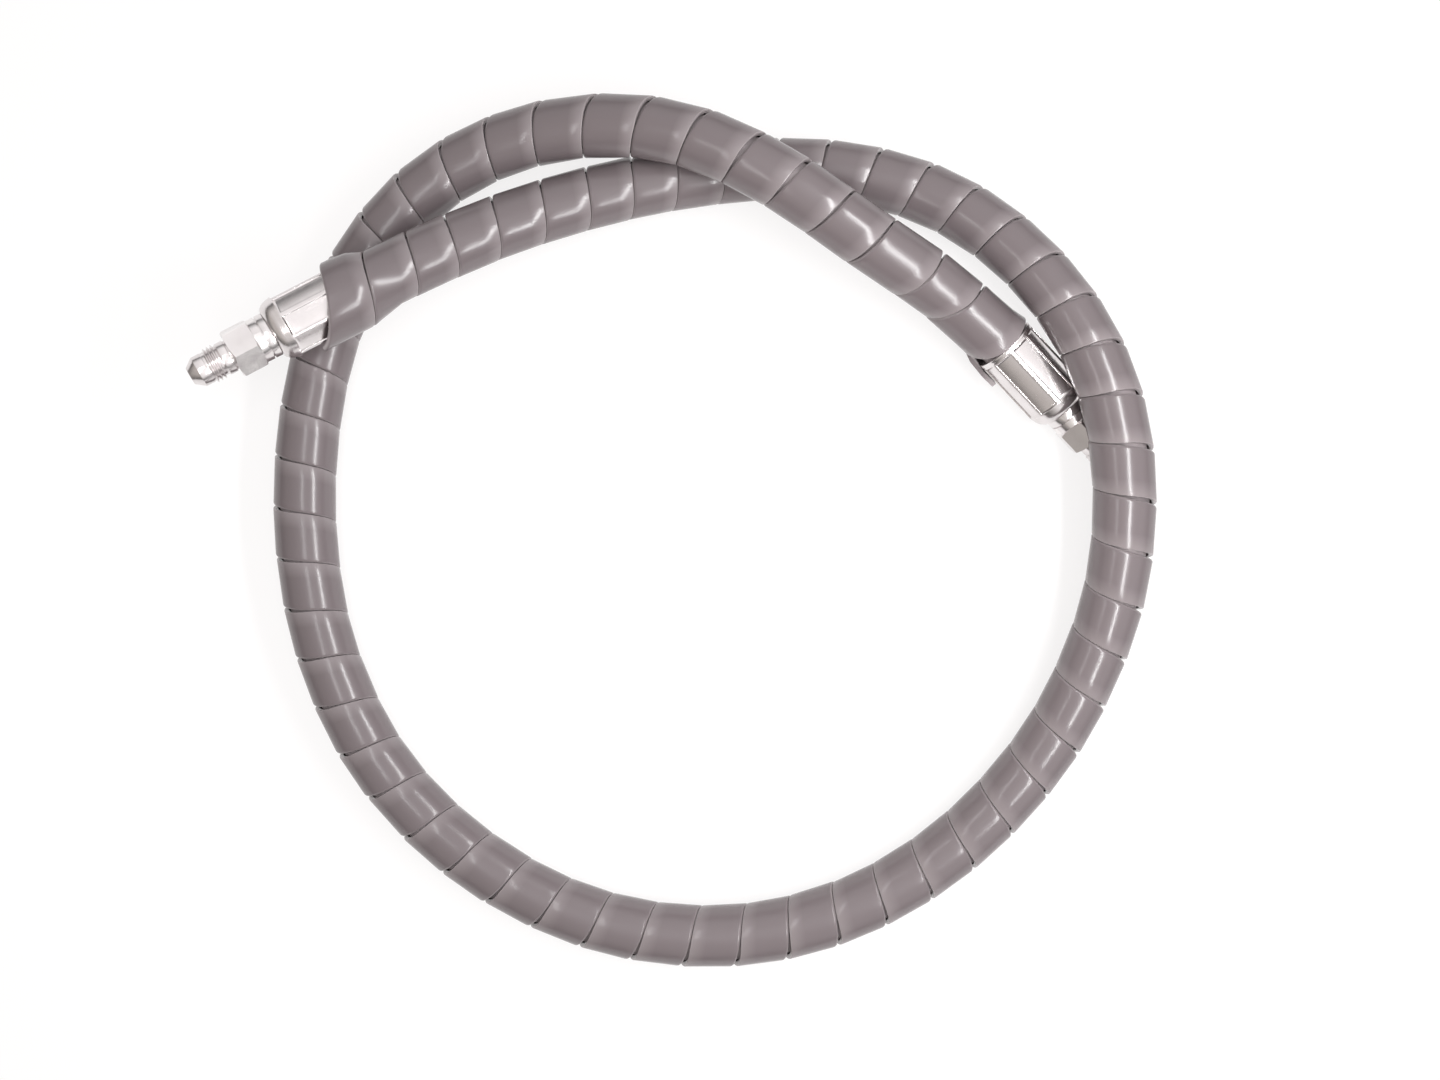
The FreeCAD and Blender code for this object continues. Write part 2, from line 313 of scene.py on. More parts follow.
class Finishes(bpy.types.PropertyGroup):
    """Colours of the finishes."""

    guard: colour("Guard", (0.134, 0.112, 0.117), "Colour of the guard's plastic")
    # The pale edge colour is a painted highlight for the bright rims and glints along the gaps
    guard_edge: colour("Guard edge glint", (0.42, 0.38, 0.385), "Colour of the painted highlight on the guard's edges")
    # Pale grey rather than black rubber: painted light that lifts the shade in the gaps between the guard's
    # turns to grey
    rubber: colour("Rubber", (0.19, 0.165, 0.17), "Colour of the hose's rubber")
    zinc: colour("Zinc", (0.77, 0.735, 0.735), "Colour of the zinc-plated steel")
    zinc_dull: colour("Dull zinc", (0.6, 0.56, 0.555), "Colour of handled zinc plating")
    wire: colour("Wire", (0.62, 0.5, 0.3), "Colour of the brass-coated braid wire")


class StageSizes(bpy.types.PropertyGroup):
    """Camera, floor and lamps."""

    eye: bpy.props.FloatVectorProperty(
        name="Eye", description="Place of the camera", default=(0.013, -0.001, 0.51635), subtype="TRANSLATION"
    )
    lens: number("Lens", 38.61, "Focal length in millimetres", min=5)
    floor: colour("Floor", (0.9, 0.885, 0.885), "Colour of the floor")
    floor_glow: number("Floor glow", 0.8, "Share of the floor that shows as white", min=0, max=1)


def plug(tree, node, inputs):
    """Gives a node's inputs a value each, or a link from another node's output."""
    for key, value in inputs.items():
        if isinstance(value, bpy.types.NodeSocket):
            tree.links.new(value, node.inputs[key])
        else:
            node.inputs[key].default_value = value


def add(tree, kind, inputs=None, **settings):
    """A new node with its settings and its inputs."""
    made = tree.nodes.new(kind)
    for name, value in settings.items():
        setattr(made, name, value)
    plug(tree, made, inputs or {})
    return made


def new_tree(name, kind, inputs, outputs):
    """A node group with its named sockets, and its input and output nodes."""
    tree = bpy.data.node_groups.new(name, kind)
    for direction, sockets in (("INPUT", inputs), ("OUTPUT", outputs)):
        for label, socket_type in sockets.items():
            tree.interface.new_socket(label, in_out=direction, socket_type="NodeSocket" + socket_type)
    return tree, tree.nodes.new("NodeGroupInput").outputs, tree.nodes.new("NodeGroupOutput").inputs


def math_node(tree, operation, first, second=0.5, third=0.5):
    """A math node's output."""
    return add(tree, "ShaderNodeMath", {0: first, 1: second, 2: third}, operation=operation).outputs[0]


def vector_node(tree, operation, first, second=(0, 0, 0)):
    """A vector math node's vector output."""
    return add(tree, "ShaderNodeVectorMath", {0: first, 1: second}, operation=operation).outputs[0]


def scaled(tree, vector, factor):
    """A vector times a number."""
    return add(tree, "ShaderNodeVectorMath", {0: vector, "Scale": factor}, operation="SCALE").outputs[0]


def named(tree, name):
    """A number stored on the mesh, in a geometry tree."""
    node = add(tree, "GeometryNodeInputNamedAttribute", {"Name": name}, data_type="FLOAT")
    return node.outputs["Attribute"]


def close_tree(tree, geometry, given, result):
    """Ends a geometry tree with real geometry in the material that it was given."""
    real = add(tree, "GeometryNodeRealizeInstances", {"Geometry": geometry})
    inputs = {"Geometry": real.outputs[0], "Material": given["Material"]}
    painted = add(tree, "GeometryNodeSetMaterial", inputs)
    tree.links.new(painted.outputs[0], result["Geometry"])


def point_on_route_group():
    """Geometry group: the point at a distance along the route, at an angle round it and a radius from it."""
    sockets = {"Route": "Geometry", "Distance": "Float", "Angle": "Float", "Radius": "Float"}
    tree, given, result = new_tree("Point on route", "GeometryNodeTree", sockets, {"Point": "Vector"})
    inputs = {"Curves": given["Route"], "Length": given["Distance"]}
    sample = add(tree, "GeometryNodeSampleCurve", inputs, mode="LENGTH")
    tangent = sample.outputs["Tangent"]
    side = vector_node(tree, "NORMALIZE", vector_node(tree, "CROSS_PRODUCT", tangent, (0, 0, 1)))
    above = vector_node(tree, "CROSS_PRODUCT", side, tangent)
    sideways = scaled(tree, side, math_node(tree, "COSINE", given["Angle"]))
    upwards = scaled(tree, above, math_node(tree, "SINE", given["Angle"]))
    arm = scaled(tree, vector_node(tree, "ADD", sideways, upwards), given["Radius"])
    tree.links.new(vector_node(tree, "ADD", sample.outputs["Position"], arm), result["Point"])
    return tree


def wind_tree():
    """Geometry tree: lays an unrolled skin on the route. Each point has the distances of the skin's front
    and rear edges there, its share of the way between them, its angle and its radius. A point between the
    edges lies on the straight line from one to the other, and nothing goes under the floor."""
    sockets = {"Geometry": "Geometry", "Route": "Object", "Material": "Material"}
    tree, given, result = new_tree("Wind on route", "GeometryNodeTree", sockets, {"Geometry": "Geometry"})
    line = add(tree, "GeometryNodeObjectInfo", {"Object": given["Route"]}).outputs["Geometry"]
    route = add(tree, "GeometryNodeMeshToCurve", {"Mesh": line}).outputs["Curve"]
    ends = []
    group = point_on_route_group()
    for edge in ("front", "rear"):
        inputs = {
            "Route": route,
            "Distance": named(tree, edge),
            "Angle": named(tree, "angle"),
            "Radius": named(tree, "radius"),
        }
        place = add(tree, "GeometryNodeGroup", inputs, node_tree=group)
        ends.append(place.outputs["Point"])
    between = vector_node(tree, "SUBTRACT", ends[1], ends[0])
    point = vector_node(tree, "ADD", ends[0], scaled(tree, between, named(tree, "share")))
    point = vector_node(tree, "MAXIMUM", point, LOWEST)
    moved = add(tree, "GeometryNodeSetPosition", {"Geometry": given["Geometry"], "Position": point})
    close_tree(tree, moved.outputs[0], given, result)
    return tree


def ring_tree():
    """Geometry tree: repeats a sector round the x axis and joins the copies along their borders."""
    sockets = {"Geometry": "Geometry", "Count": "Int", "Weld": "Float", "Material": "Material"}
    tree, given, result = new_tree("Ring of sectors", "GeometryNodeTree", sockets, {"Geometry": "Geometry"})
    points = add(tree, "GeometryNodeMeshLine", {"Count": given["Count"], "Offset": (0, 0, 0)})
    index = tree.nodes.new("GeometryNodeInputIndex").outputs[0]
    step = math_node(tree, "DIVIDE", 2 * math.pi, given["Count"])
    turn = add(tree, "ShaderNodeCombineXYZ", {"X": math_node(tree, "MULTIPLY", index, step)}).outputs[0]
    inputs = {"Points": points.outputs[0], "Instance": given["Geometry"], "Rotation": turn}
    copies = add(tree, "GeometryNodeInstanceOnPoints", inputs)
    real = add(tree, "GeometryNodeRealizeInstances", {"Geometry": copies.outputs[0]})
    inputs = {"Geometry": real.outputs[0], "Distance": given["Weld"]}
    joined = add(tree, "GeometryNodeMergeByDistance", inputs)
    close_tree(tree, joined.outputs[0], given, result)
    return tree


def thread_tree():
    """Geometry tree: a helical ridge round the z axis that fades out at both ends."""
    sockets = {
        "Geometry": "Geometry",
        "Turns": "Float",
        "Pitch": "Float",
        "Root Radius": "Float",
        "Material": "Material",
    }
    tree, given, result = new_tree("Thread ridge", "GeometryNodeTree", sockets, {"Geometry": "Geometry"})
    rise = math_node(tree, "MULTIPLY", given["Turns"], given["Pitch"])
    inputs = {
        "Resolution": THREAD_STEPS,
        "Rotations": given["Turns"],
        "Start Radius": given["Root Radius"],
        "End Radius": given["Root Radius"],
        "Height": rise,
    }
    helix = add(tree, "GeometryNodeCurveSpiral", inputs)
    upright = add(tree, "GeometryNodeSetCurveNormal", {"Curve": helix.outputs[0]}, mode="Z_UP")
    share = tree.nodes.new("GeometryNodeSplineParameter").outputs["Factor"]
    to_end = math_node(tree, "MINIMUM", share, math_node(tree, "SUBTRACT", 1.0, share))
    fade = math_node(tree, "MINIMUM", math_node(tree, "MULTIPLY", to_end, THREAD_FADE), 1.0)
    inputs = {"Curve": upright.outputs[0], "Radius": math_node(tree, "MAXIMUM", fade, THREAD_LEAST)}
    swelled = add(tree, "GeometryNodeSetCurveRadius", inputs)
    inputs = {"Curve": swelled.outputs[0], "Profile Curve": given["Geometry"], "Fill Caps": True}
    swept = add(tree, "GeometryNodeCurveToMesh", inputs)
    close_tree(tree, swept.outputs[0], given, result)
    return tree


def tree_named(name, maker):
    """A node group by its name, made when it is first asked for."""
    return bpy.data.node_groups.get(name) or maker()


def new_object(name, data):
    """A new object at the origin, in the scene."""
    made = bpy.data.objects.new(name, data)
    bpy.context.scene.collection.objects.link(made)
    return made


def shown_mesh(piece):
    """A new mesh of an object as its modifiers show it."""
    bpy.context.view_layer.update()
    evaluated = piece.evaluated_get(bpy.context.evaluated_depsgraph_get())
    return bpy.data.meshes.new_from_object(evaluated)


def settle(piece):
    """Turns what a piece's modifiers make of it into its own plain mesh."""
    mesh = shown_mesh(piece)
    piece.modifiers.clear()
    piece.data = mesh


def run_tree(piece, tree, **values):
    """Gives an object a geometry tree with these inputs."""
    modifier = piece.modifiers.new(tree.name, "NODES")
    modifier.node_group = tree
    for item in tree.interface.items_tree:
        key = item.name.replace(" ", "_").lower()
        if item.in_out == "INPUT" and key in values:
            modifier[item.identifier] = values[key]


def grow(piece, tree, **values):
    """Runs a geometry tree on a piece with these inputs, and keeps the result as its mesh."""
    run_tree(piece, tree, **values)
    settle(piece)


def smooth(piece, degrees):
    """Smooth shading, with edges kept sharp where faces meet at more than this angle."""
    mesh = piece.data
    mesh.polygons.foreach_set("use_smooth", [True] * len(mesh.polygons))
    mesh.set_sharp_from_angle(angle=math.radians(degrees))


def face_outwards(mesh):
    """Joins double points and turns every face outwards."""
    shell = bmesh.new()
    shell.from_mesh(mesh)
    bmesh.ops.remove_doubles(shell, verts=shell.verts, dist=SAME_POINT)
    bmesh.ops.recalc_face_normals(shell, faces=shell.faces)
    shell.to_mesh(mesh)
    shell.free()


def hose_radius():
    """The hose's outer radius, from its layers."""
    sizes = bpy.context.scene.hose_sizes
    braids = [sizes.inner_braid_wall, sizes.friction_wall, sizes.outer_braid_wall]
    return sizes.bore_radius + sum([sizes.tube_wall, *braids, sizes.cover_wall])


def route_curve(name, radius):
    """The hose's route as one smooth open curve, with a round bevel of this radius."""
    sizes = bpy.context.scene.hose_sizes
    data = bpy.data.curves.new(name, "CURVE")
    data.dimensions = "3D"
    data.resolution_u = 24
    spline = data.splines.new("NURBS")
    spline.points.add(len(ROUTE) - 1)
    for point, (x, y, lift) in zip(spline.points, ROUTE):
        point.co = (x, y, sizes.rest_height + lift, 1)
    spline.order_u = 3
    spline.use_endpoint_u = True
    data.bevel_depth = radius
    data.bevel_resolution = 6
    data.use_fill_caps = radius > 0
    return new_object(name, data)


def route_line():
    """The route's centreline as a mesh of points and edges, and its points as an array."""
    curve = route_curve("route_line", 0)
    mesh = shown_mesh(curve)
    bpy.data.objects.remove(curve)
    points = np.array([v.co for v in mesh.vertices])
    return new_object("route_points", mesh), points


class Path:
    """Distances, directions and bends along the route, read at any distance."""

    def __init__(self, points):
        steps = np.diff(points, axis=0)
        self.distance = np.concatenate([[0], np.cumsum(np.linalg.norm(steps, axis=1))])
        self.length = self.distance[-1]
        tangents = np.gradient(points, self.distance, axis=0)
        self.tangents = tangents / np.linalg.norm(tangents, axis=1)[:, None]
        bends = np.gradient(self.tangents, self.distance, axis=0)
        window = np.ones(BLUR) / BLUR
        self.bends = np.stack([np.convolve(bends[:, k], window, "same") for k in range(3)], axis=1)

    def read(self, values, where):
        """One of the path's own arrays at these distances."""
        return np.stack([np.interp(where, self.distance, values[:, k]) for k in range(3)], axis=-1)

    def strain(self, where, angle):
        """How much the outside of a bend is stretched, per metre of radius, at an angle round the hose."""
        tangent = self.read(self.tangents, where)
        side = np.cross(tangent, (0, 0, 1))
        side /= np.linalg.norm(side, axis=-1)[..., None]
        above = np.cross(side, tangent)
        outwards = side * np.cos(angle)[..., None] + above * np.sin(angle)[..., None]
        return -(self.read(self.bends, where) * outwards).sum(axis=-1)


def skin(name, grid, closed_rows, closed_columns, attributes):
    """A mesh of quads over a grid of points, with numbers stored on the points. Open rows or columns of a
    closed tube get a cap at each end."""
    rows, columns = grid.shape[:2]
    index = np.arange(rows * columns).reshape(rows, columns)
    if closed_rows:
        index = np.concatenate([index, index[:1]])
    if closed_columns:
        index = np.concatenate([index, index[:, :1]], axis=1)
    quads = np.stack([index[:-1, :-1], index[1:, :-1], index[1:, 1:], index[:-1, 1:]], axis=-1)
    faces = quads.reshape(-1, 4).tolist()
    if closed_columns and not closed_rows:
        faces.append(index[0, :columns].tolist())
        faces.append(index[-1, :columns][::-1].tolist())
    mesh = bpy.data.meshes.new(name)
    mesh.from_pydata(grid.reshape(-1, 3).tolist(), [], faces)
    for label, values in attributes.items():
        layer = mesh.attributes.new(label, "FLOAT", "POINT")
        layer.data.foreach_set("value", np.broadcast_to(values, (rows, columns)).ravel().astype(np.float32))
    return new_object(name, mesh)


def turned_grid(along, radius, angles):
    """A grid of points about the x axis, from distances and radii for each row and the angles of a row."""
    flat = np.repeat(along, len(angles), axis=1)
    return np.stack([flat, radius * np.sin(angles), radius * np.cos(angles)], axis=-1)


def lathe(name, outline):
    """A closed turned shape about the x axis, from a closed outline of (x, radius)."""
    outline = np.array(outline)
    angles = np.arange(LATHE_SIDES) * 2 * math.pi / LATHE_SIDES
    made = skin(name, turned_grid(outline[:, :1], outline[:, 1:], angles), True, True, {})
    face_outwards(made.data)
    return made


def eased(share):
    """A share from 0 to 1 with a soft start and end."""
    share = np.clip(share, 0, 1)
    return share * share * (3 - 2 * share)


def softened(outline, radius):
    """An outline with each corner replaced by a small round of three points."""
    points = [Vector(p) for p in outline]
    result = []
    for before, corner, after in zip(points[-1:] + points[:-1], points, points[1:] + points[:1]):
        back = before - corner
        ahead = after - corner
        cut = min(radius, back.length * CORNER_SHARE, ahead.length * CORNER_SHARE)
        first = corner + back.normalized() * cut
        last = corner + ahead.normalized() * cut
        result += [tuple(first), tuple(corner * 0.5 + (first + last) * 0.25), tuple(last)]
    return result


def fitting_place(end):
    """The matrix that puts a fitting made along x, with its ferrule's lip at x = 0, on its hose end."""
    sizes = bpy.context.scene.fitting_sizes
    mount = next(m for m in record["mounts"] if m["name"] == "thread_" + end)
    axis = Vector(mount["axis"]).normalized()
    side = Vector((0, 0, 1)).cross(axis).normalized()
    above = axis.cross(side)
    lip = Vector(mount["pos_m"]) - axis * (stem_stations()["thread"] + sizes.thread_length / 2)
    place = Matrix((axis, side, above)).transposed().to_4x4()
    place.translation = lip
    return place


def stem_stations():
    """Distances of the stem's features from the ferrule's lip."""
    sizes = bpy.context.scene.fitting_sizes
    start = sizes.ferrule_length + sizes.shoulder
    hexagon = start + RINGS_LENGTH
    relief = hexagon + sizes.hex_length
    thread = relief + RELIEF_LENGTH
    pilot = thread + sizes.thread_length
    return {"start": start, "hexagon": hexagon, "relief": relief, "thread": thread, "pilot": pilot}


def stored(piece, label, values):
    """Stores one number for each point of a piece's mesh."""
    layer = piece.data.attributes.new(label, "FLOAT", "POINT")
    layer.data.foreach_set("value", np.asarray(values, dtype=np.float32))


def mesh_points(mesh):
    """A mesh's points as an array."""
    flat = np.empty(len(mesh.vertices) * 3, dtype=np.float32)
    mesh.vertices.foreach_get("co", flat)
    return flat.reshape(-1, 3)


def placed(piece, end, roll):
    """Stores how far each point lies along and round the fitting, turns it about its axis and puts it on its
    hose end."""
    points = mesh_points(piece.data)
    stored(piece, "axial", points[:, 0])
    stored(piece, "around", np.arctan2(points[:, 1], points[:, 2]))
    piece.data.transform(fitting_place(end) @ Matrix.Rotation(roll, 4, "X"))
    piece.data.update()


def noise(tree, vector, scale, detail=2.0, roughness=0.5):
    """A noise texture's plain value."""
    inputs = {"Vector": vector, "Scale": scale, "Detail": detail, "Roughness": roughness}
    return add(tree, "ShaderNodeTexNoise", inputs).outputs[0]


def stretched(tree, value, low, high, low_to, high_to):
    """A value taken from one range to another."""
    inputs = {"Value": value, "From Min": low, "From Max": high, "To Min": low_to, "To Max": high_to}
    return add(tree, "ShaderNodeMapRange", inputs).outputs[0]


def blended(tree, factor, first, second):
    """A mix of two colours."""
    return add(tree, "ShaderNodeMix", {0: factor, 6: first, 7: second}, data_type="RGBA").outputs[2]


def mixed_value(tree, factor, first, second):
    """A mix of two numbers."""
    return add(tree, "ShaderNodeMix", {0: factor, 2: first, 3: second}, data_type="FLOAT").outputs[0]


def wear_group():
    """Shader group: patchy handling marks, fine grain and hairline scratches on any surface."""
    sockets = {"Vector": "Vector", "Patch Scale": "Float", "Grain Scale": "Float"}
    outputs = {"Patches": "Float", "Grain": "Float", "Scratches": "Float"}
    tree, given, result = new_tree("Surface wear", "ShaderNodeTree", sockets, outputs)
    patches = noise(tree, given["Vector"], given["Patch Scale"], 3.0)
    grain = noise(tree, given["Vector"], given["Grain Scale"], 4.0, 0.6)
    drawn = vector_node(tree, "MULTIPLY", given["Vector"], (1.0, 0.06, 0.3))
    lines = noise(tree, drawn, given["Grain Scale"], 1.0)
    tree.links.new(stretched(tree, patches, 0.35, 0.7, 0, 1), result["Patches"])
    tree.links.new(grain, result["Grain"])
    tree.links.new(stretched(tree, lines, 0.62, 0.72, 0, 1), result["Scratches"])
    return tree


def braid_group():
    """Shader group: two crossing families of wires, from a distance along the hose and an angle round it."""
    sockets = {"Along": "Float", "Angle": "Float", "Lay Length": "Float", "Bundles": "Float"}
    outputs = {"Height": "Float", "Shade": "Float"}
    tree, given, result = new_tree("Wire braid", "ShaderNodeTree", sockets, outputs)
    lays = math_node(tree, "DIVIDE", given["Along"], given["Lay Length"])
    lay = math_node(tree, "MULTIPLY", lays, 2 * math.pi)
    bundles = []
    wires = []
    for sign in (1.0, -1.0):
        phase = math_node(tree, "MULTIPLY_ADD", given["Angle"], sign, lay)
        wave = math_node(tree, "MULTIPLY", phase, given["Bundles"])
        bundles.append(math_node(tree, "SINE", wave))
        wire = math_node(tree, "SINE", math_node(tree, "MULTIPLY", wave, WIRES_PER_WAVE))
        wires.append(math_node(tree, "ABSOLUTE", wire))
    over = math_node(tree, "MULTIPLY", *bundles)
    top = math_node(tree, "GREATER_THAN", over, 0.0)
    mixed = mixed_value(tree, top, *wires)
    tree.links.new(mixed, result["Height"])
    # Painted shade: darker where the wires dip, between and beside them
    tree.links.new(stretched(tree, mixed, 0, 1, 0.35, 1), result["Shade"])
    return tree


def worn(tree, vector, patch_scale, grain_scale):
    """The wear of a surface, as its patches, grain and scratches."""
    inputs = {"Vector": vector, "Patch Scale": patch_scale, "Grain Scale": grain_scale}
    return add(tree, "ShaderNodeGroup", inputs, node_tree=tree_named("Surface wear", wear_group)).outputs


def new_material(name):
    """A new material with its node tree and its shader."""
    made = bpy.data.materials.new(name)
    made.use_nodes = True
    tree = made.node_tree
    return made, tree, tree.nodes["Principled BSDF"]


def object_place(tree):
    """The object's own coordinates, in a material."""
    return tree.nodes.new("ShaderNodeTexCoord").outputs["Object"]


def along_x(tree, value):
    """A vector with this value along x."""
    return add(tree, "ShaderNodeCombineXYZ", {"X": value}).outputs[0]


def bumped(tree, shader, height, strength, distance):
    """Gives a shader a bump from a height."""
    bump = add(tree, "ShaderNodeBump", {"Height": height, "Strength": strength, "Distance": distance})
    tree.links.new(bump.outputs[0], shader.inputs["Normal"])


def attribute(tree, name):
    """A number stored on the mesh, in a material."""
    return add(tree, "ShaderNodeAttribute", attribute_name=name).outputs["Fac"]


def solid(rgb, share=1):
    """A colour times a share, with its alpha."""
    return (*[c * share for c in rgb], 1)


def guard_material():
    """Extruded polyethylene strip: soft gloss, die lines along the strip, light dust, and pale edges that are
    a painted highlight for the bright rims along the gaps.
    """
    finish = bpy.context.scene.finishes
    made, tree, shader = new_material("guard_plastic")
    own = {"X": attribute(tree, "across"), "Y": attribute(tree, "along")}
    wear = worn(tree, add(tree, "ShaderNodeCombineXYZ", own).outputs[0], 25.0, 900.0)
    handled = math_node(tree, "MULTIPLY", wear["Patches"], 0.1)
    body = blended(tree, handled, solid(finish.guard), solid(finish.guard, 0.82))
    # Pale edges: a painted highlight for the bright rims and glints along the gaps
    edge = math_node(tree, "MULTIPLY", attribute(tree, "edge"), 0.55)
    glinted = blended(tree, edge, body, solid(finish.guard_edge))
    rough = math_node(tree, "MULTIPLY_ADD", wear["Patches"], 0.03, 0.22)
    across = math_node(tree, "MULTIPLY", attribute(tree, "across"), 5200.0)
    lines = noise(tree, along_x(tree, across), 1.0)
    height = math_node(tree, "MULTIPLY_ADD", wear["Grain"], 0.35, lines)
    bumped(tree, shader, height, 0.03, 0.0001)
    plug(tree, shader, {"Base Color": glinted, "Roughness": rough, "Specular IOR Level": 0.5})
    return made


def rubber_material(name, shade, grain):
    """Hose rubber with a cloth-like imprint."""
    finish = bpy.context.scene.finishes
    made, tree, shader = new_material(name)
    wear = worn(tree, object_place(tree), 60.0, grain)
    dark = solid(finish.rubber, shade)
    pale = solid(finish.rubber, shade * 1.8)
    base = blended(tree, wear["Patches"], dark, pale)
    rough = math_node(tree, "MULTIPLY_ADD", wear["Grain"], 0.2, 0.5)
    bumped(tree, shader, wear["Grain"], 0.3, 0.0002)
    plug(tree, shader, {"Base Color": base, "Roughness": rough})
    return made


def braid_material(name, bundles):
    """Brass-coated steel wire braid."""
    finish = bpy.context.scene.finishes
    made, tree, shader = new_material(name)
    inputs = {
        "Along": attribute(tree, "front"),
        "Angle": attribute(tree, "angle"),
        "Lay Length": LAY_LENGTH,
        "Bundles": bundles,
    }
    group = tree_named("Wire braid", braid_group)
    braid = add(tree, "ShaderNodeGroup", inputs, node_tree=group).outputs
    # Painted shade in the grooves between the wires, darker where they dip
    base = blended(tree, braid["Shade"], solid(finish.wire, 0.3), solid(finish.wire))
    rough = math_node(tree, "MULTIPLY_ADD", noise(tree, object_place(tree), 700.0), 0.2, 0.25)
    bumped(tree, shader, braid["Height"], 0.7, 0.0003)
    plug(tree, shader, {"Base Color": base, "Metallic": 1, "Roughness": rough})
    return made


def zinc_material(name, turning):
    """Zinc-plated steel with fine turning marks round the axis and dull handled patches."""
    finish = bpy.context.scene.finishes
    made, tree, shader = new_material(name)
    wear = worn(tree, object_place(tree), 160.0, 1500.0)
    dull = math_node(tree, "MULTIPLY", wear["Patches"], 0.4)
    plated = blended(tree, dull, solid(finish.zinc), solid(finish.zinc_dull))
    pointed = tree.nodes.new("ShaderNodeNewGeometry").outputs["Pointiness"]
    base = blended(tree, stretched(tree, pointed, 0.52, 0.6, 0, 0.6), plated, (0.9, 0.88, 0.87, 1))
    rough = math_node(tree, "MULTIPLY_ADD", wear["Patches"], 0.1, 0.17)
    rough = math_node(tree, "MULTIPLY_ADD", wear["Scratches"], 0.04, rough)
    axial = math_node(tree, "MULTIPLY", attribute(tree, "axial"), 9000.0)
    rings = noise(tree, along_x(tree, axial), 1.0, 3.0)
    height = math_node(tree, "MULTIPLY_ADD", rings, turning, wear["Grain"])
    bumped(tree, shader, height, 0.08, 0.0001)
    plug(tree, shader, {"Base Color": base, "Metallic": 1, "Roughness": rough})
    return made


def floor_material():
    """Plain pale floor that shows almost white, also in reflections, and keeps the object's shadow."""
    stage = bpy.context.scene.stage_sizes
    made, tree, shader = new_material("pale_floor")
    grain = noise(tree, object_place(tree), 30.0, 4.0)
    base = blended(tree, grain, solid(stage.floor), solid(stage.floor, 0.985))
    plug(tree, shader, {"Base Color": base, "Roughness": 0.9, "Specular IOR Level": 0.0})
    light = tree.nodes.new("ShaderNodeLightPath").outputs
    seen = math_node(tree, "MAXIMUM", light["Is Camera Ray"], light["Is Glossy Ray"])
    seen = math_node(tree, "MAXIMUM", seen, light["Is Transmission Ray"])
    share = math_node(tree, "MULTIPLY", seen, stage.floor_glow)
    glow = add(tree, "ShaderNodeEmission", {"Color": WHITE, "Strength": 1.0})
    mixed = add(tree, "ShaderNodeMixShader", {0: share, 1: shader.outputs[0], 2: glow.outputs[0]})
    tree.links.new(mixed.outputs[0], tree.nodes["Material Output"].inputs["Surface"])
    return made


class MakeStage(bpy.types.Operator):
    """Makes the camera, the floor, the lamps and the world"""

    bl_idname = "hose.make_stage"
    bl_label = "Stage"

    def execute(self, context):
        stage = context.scene.stage_sizes
        camera = bpy.data.objects.new("camera", bpy.data.cameras.new("camera"))
        camera.data.lens = stage.lens
        camera.data.sensor_width = 36
        camera.data.clip_start = 0.01
        camera.data.clip_end = 20
        camera.location = stage.eye
        context.scene.collection.objects.link(camera)
        context.scene.camera = camera
        context.scene.view_settings.view_transform = "Standard"

        mesh = bpy.data.meshes.new("floor")
        signs = [(-1, -1), (1, -1), (1, 1), (-1, 1)]
        corners = [(x * FLOOR_HALF, y * FLOOR_HALF, -FLOOR_DROP) for x, y in signs]
        mesh.from_pydata(corners, [], [(0, 1, 2, 3)])
        mesh.materials.append(floor_material())
        new_object("floor", mesh)

        for name, place, lean, wide, tall, power, reflected in LAMPS:
            light = bpy.data.lights.new(name, "AREA")
            light.shape = "RECTANGLE"
            light.size = wide
            light.size_y = tall
            light.energy = power
            lamp = bpy.data.objects.new(name, light)
            lamp.location = place
            lamp.rotation_euler = (0, math.radians(lean), 0)
            lamp.visible_camera = False
            lamp.visible_glossy = reflected
            context.scene.collection.objects.link(lamp)

        world = bpy.data.worlds.new("studio")
        context.scene.world = world
        world.use_nodes = True
        tree = world.node_tree
        background = tree.nodes["Background"]
        direction = tree.nodes.new("ShaderNodeTexCoord").outputs["Generated"]
        toward = add(tree, "ShaderNodeSeparateXYZ", {0: direction}).outputs
        slope = math_node(tree, "MULTIPLY_ADD", toward["Y"], 0.5, toward["X"])
        room = stretched(tree, slope, *ROOM_FROM_TO, *ROOM_LEVELS)
        rising = stretched(tree, toward["Z"], *HORIZON_FROM_TO, *HORIZON_LEVELS)
        room = math_node(tree, "MULTIPLY", room, rising)
        cooling = stretched(tree, slope, ROOM_FROM_TO[0], 0, 0, 1)
        tint = blended(tree, cooling, WARM_TINT, COOL_TINT)
        light = tree.nodes.new("ShaderNodeLightPath").outputs
        level = mixed_value(tree, light["Is Glossy Ray"], PLAIN_LEVEL, room)
        plug(tree, background, {"Color": tint, "Strength": level})
        white = add(tree, "ShaderNodeBackground", {"Color": WHITE, "Strength": 1.0})
        shown = {0: light["Is Camera Ray"], 1: background.outputs[0], 2: white.outputs[0]}
        final = add(tree, "ShaderNodeMixShader", shown)
        tree.links.new(final.outputs[0], tree.nodes["World Output"].inputs["Surface"])
        return {"FINISHED"}


